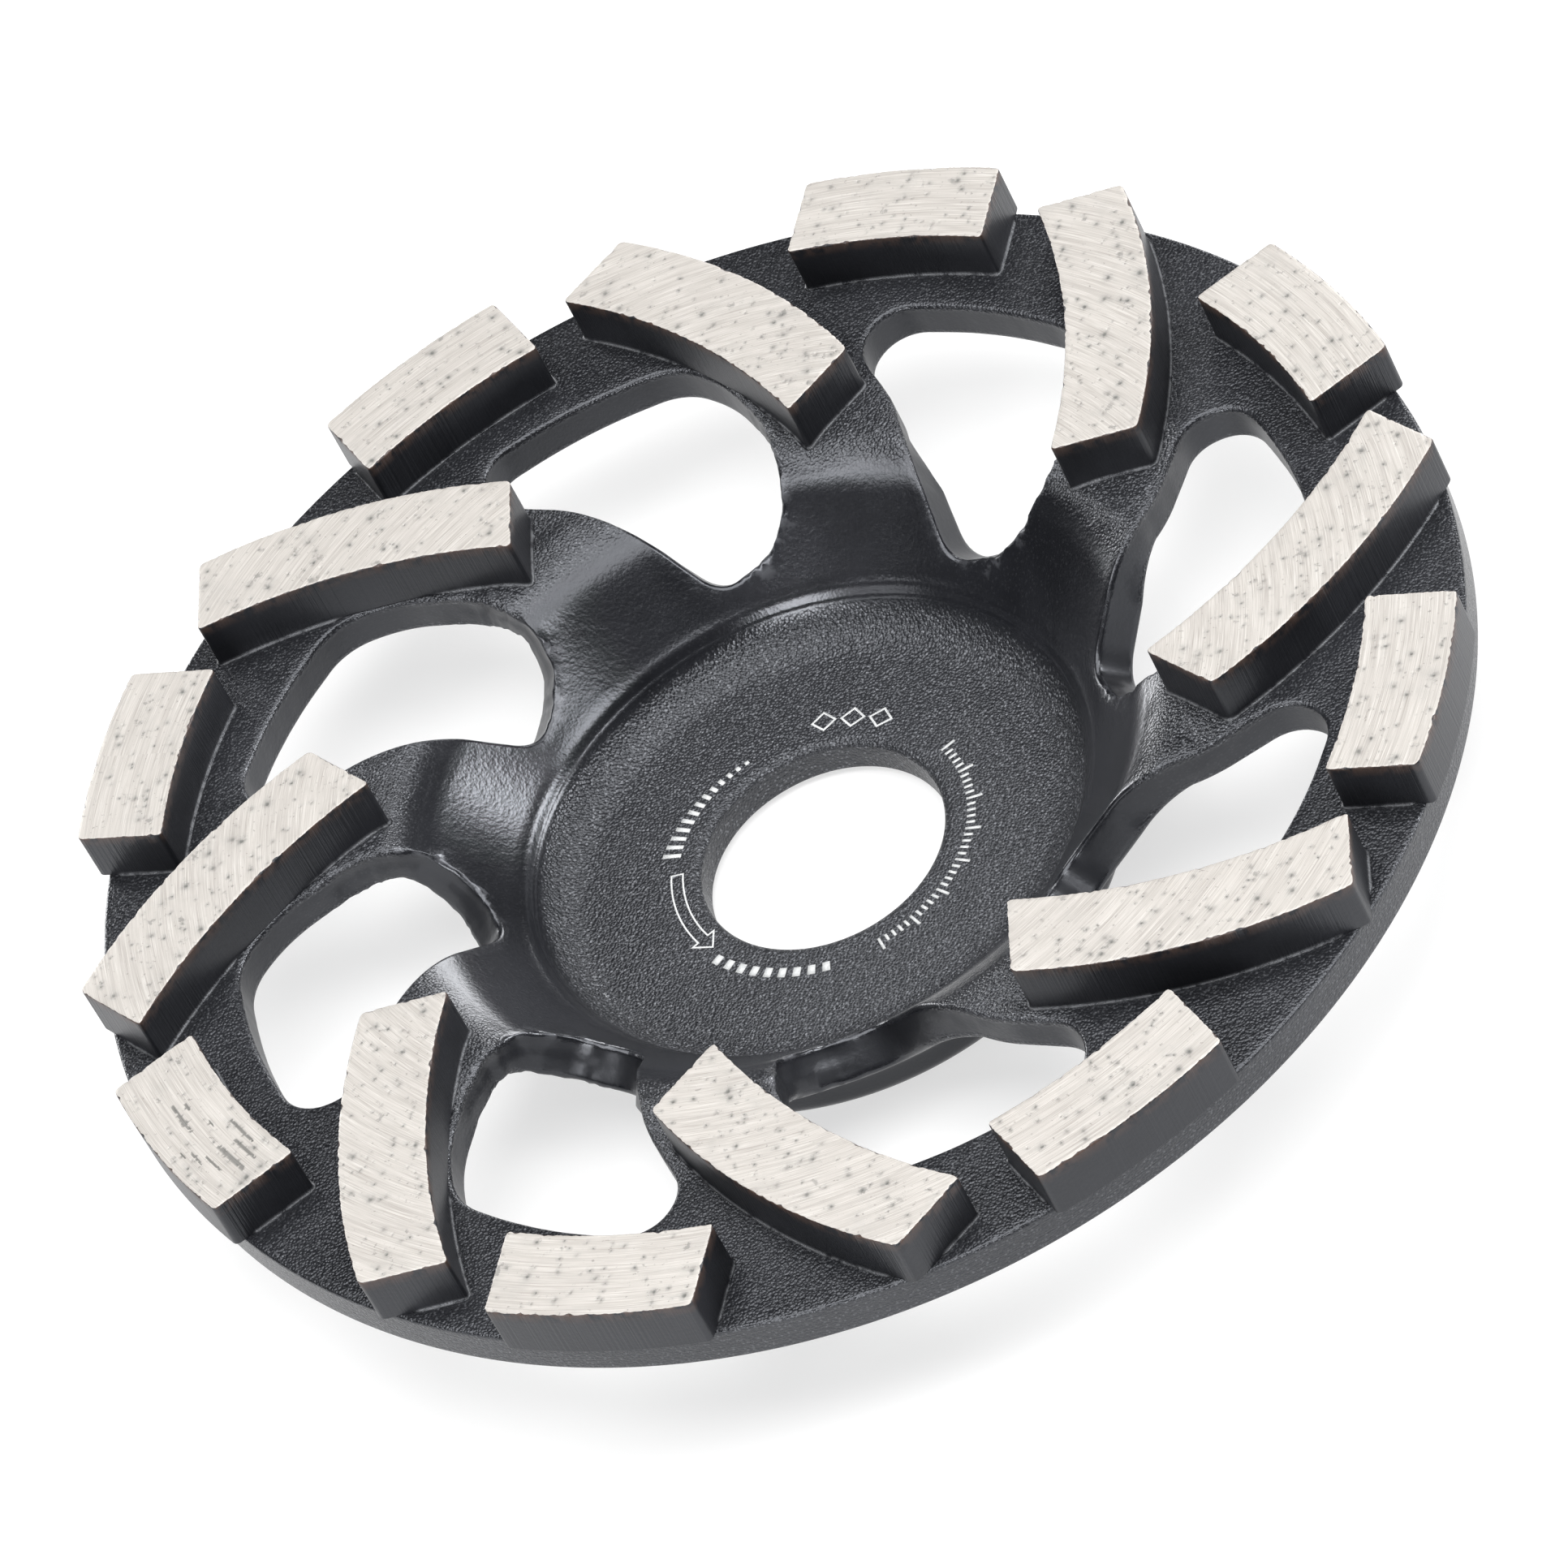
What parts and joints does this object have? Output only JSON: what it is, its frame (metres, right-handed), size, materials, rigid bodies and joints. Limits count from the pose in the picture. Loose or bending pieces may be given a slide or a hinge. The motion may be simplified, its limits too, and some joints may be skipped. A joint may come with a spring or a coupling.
{
  "type": "diamond cup wheel",
  "caption": "Grinding cup wheel: a dished steel body with a plain bore and swirling windows, and short and slanted long segments on its flat rim.",
  "frame": {"origin": "centre of the bore at the hub's back face", "axes": "+Z along the bore towards the segments' ground faces, +Y through the first short segment"},
  "size_m": [0.125, 0.125, 0.021],
  "materials": {
    "black_coat": "satin black coat with a fine pebbled skin",
    "ground_matrix": "sintered metal with diamond grit, ground on top and coated on its sides"
  },
  "bodies": {
    "root": {"steel_body": "black_coat", "short_segment_1": "ground_matrix", "short_segment_2": "ground_matrix", "short_segment_3": "ground_matrix", "short_segment_4": "ground_matrix", "short_segment_5": "ground_matrix", "short_segment_6": "ground_matrix", "short_segment_7": "ground_matrix", "short_segment_8": "ground_matrix", "long_segment_1": "ground_matrix", "long_segment_2": "ground_matrix", "long_segment_3": "ground_matrix", "long_segment_4": "ground_matrix", "long_segment_5": "ground_matrix", "long_segment_6": "ground_matrix", "long_segment_7": "ground_matrix", "long_segment_8": "ground_matrix"}
  },
  "joints": []
}
